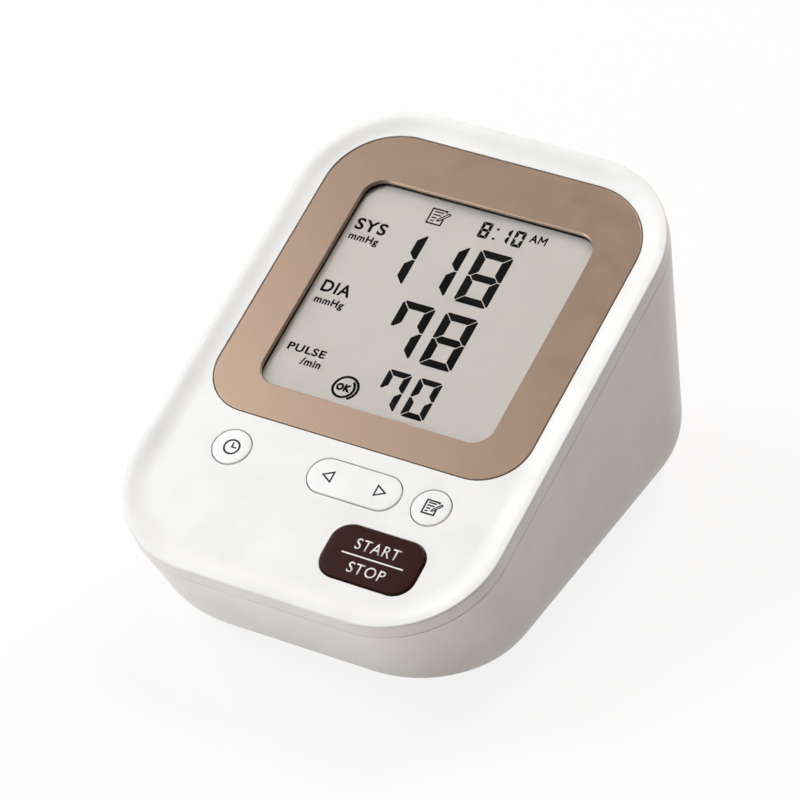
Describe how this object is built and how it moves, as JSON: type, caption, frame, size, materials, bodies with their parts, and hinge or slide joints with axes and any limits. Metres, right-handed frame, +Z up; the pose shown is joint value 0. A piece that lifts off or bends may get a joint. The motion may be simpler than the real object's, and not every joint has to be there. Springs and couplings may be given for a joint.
{
  "type": "blood pressure monitor",
  "caption": "Desk-top upper-arm blood pressure monitor with sloping display, press keys, rocker key, battery door, air socket and a working pump inside.",
  "frame": {"origin": "on the table under the middle of the object", "axes": "+X to the user's right, +Y from the user to the back, +Z up; the display faces up and towards -Y"},
  "size_m": [0.1174, 0.1606, 0.0916],
  "materials": {
    "case_white": "satin",
    "key_white": "gloss",
    "key_brown": "gloss",
    "bezel_bronze": "satin metallic",
    "lens_clear": "clear",
    "lcd_grey": "matte reflective",
    "rubber_grey": "matte",
    "silicone_white": "translucent",
    "rubber_black": "matte",
    "board_green": "solder resist",
    "chip_black": "matte",
    "sensor_grey": "matte",
    "frame_plastic": "matte",
    "socket_grey": "matte",
    "socket_black": "matte",
    "screw_steel": "zinc plated",
    "spring_steel": "nickel plated",
    "motor_can": "plated",
    "valve_body": "plated",
    "cell_jacket": "printed film, no print"
  },
  "bodies": {
    "case": {"air_jack": "socket_grey", "air_tee": "frame_plastic", "batteries": "cell_jacket", "battery_springs": "spring_steel", "board_chips": "chip_black", "board_screws": "screw_steel", "buzzer": "chip_black", "case_screws": "screw_steel", "contact_plates": "spring_steel", "contact_strips": "rubber_black", "dc_jack": "socket_black", "diaphragm": "silicone_white", "display_bezel": "bezel_bronze", "display_lens": "lens_clear", "jack_tube": "silicone_white", "keypad_mat": "silicone_white", "lcd_holder": "frame_plastic", "lcd_panel": "lcd_grey", "lens_gasket": "rubber_black", "lower_case": "case_white", "main_board": "board_green", "pressure_sensor": "sensor_grey", "pump_cushion": "rubber_black", "pump_frame": "frame_plastic", "pump_head": "frame_plastic", "pump_motor": "motor_can", "pump_tube": "silicone_white", "release_valve": "valve_body", "rubber_feet": "rubber_grey", "sensor_tube": "silicone_white", "upper_case": "case_white", "valve_spring": "spring_steel", "valve_tube": "silicone_white"},
    "start_key": {"start_stop_button": "key_brown"},
    "clock_key": {"clock_button": "key_white"},
    "memo_key": {"memo_button": "key_white"},
    "rocker": {"memory_rocker": "key_white"},
    "cover": {"battery_cover": "case_white"},
    "rotor": {"motor_shaft": "screw_steel", "drive_crank": "frame_plastic"},
    "swash": {"drive_plate": "frame_plastic"},
    "plunger": {"valve_plunger": "screw_steel"}
  },
  "joints": [
    {"name": "start_stop_press", "type": "slide", "parent": "case", "child": "start_key", "axis": [0, 0.3387, -0.9409], "range_m": [0, 0.0009], "stiffness_N_per_m": 900},
    {"name": "clock_press", "type": "slide", "parent": "case", "child": "clock_key", "axis": [0, 0.3387, -0.9409], "range_m": [0, 0.0008], "stiffness_N_per_m": 700},
    {"name": "memo_press", "type": "slide", "parent": "case", "child": "memo_key", "axis": [0, 0.3387, -0.9409], "range_m": [0, 0.0008], "stiffness_N_per_m": 700},
    {"name": "memory_rock", "type": "hinge", "parent": "case", "child": "rocker", "pos_m": [0.0076, -0.03991, 0.04501], "axis": [0, 0.9409, 0.3387], "range_deg": [-2.5, 2.5], "stiffness_Nm_per_rad": 0.3},
    {"name": "cover_hinge", "type": "hinge", "parent": "case", "child": "cover", "pos_m": [0, 0.0238, 0.001], "axis": [1, 0, 0], "range_deg": [0, 80]},
    {"name": "motor_spin", "type": "hinge", "parent": "case", "child": "rotor", "pos_m": [-0.004, 0.042, 0.02], "axis": [-1, 0, 0], "continuous": true},
    {"name": "swash_nutation", "type": "hinge", "parent": "rotor", "child": "swash", "pos_m": [-0.0142, 0.042, 0.02], "axis": [-0.9945, 0, 0.1045], "continuous": true},
    {"name": "valve_slide", "type": "slide", "parent": "case", "child": "plunger", "axis": [0, 0, -1], "range_m": [0, 0.0008], "stiffness_N_per_m": 600, "deforming": ["valve_spring"]}
  ],
  "couplings": [
    {"joint": "swash_nutation", "follows": "motor_spin", "ratio": -1}
  ]
}
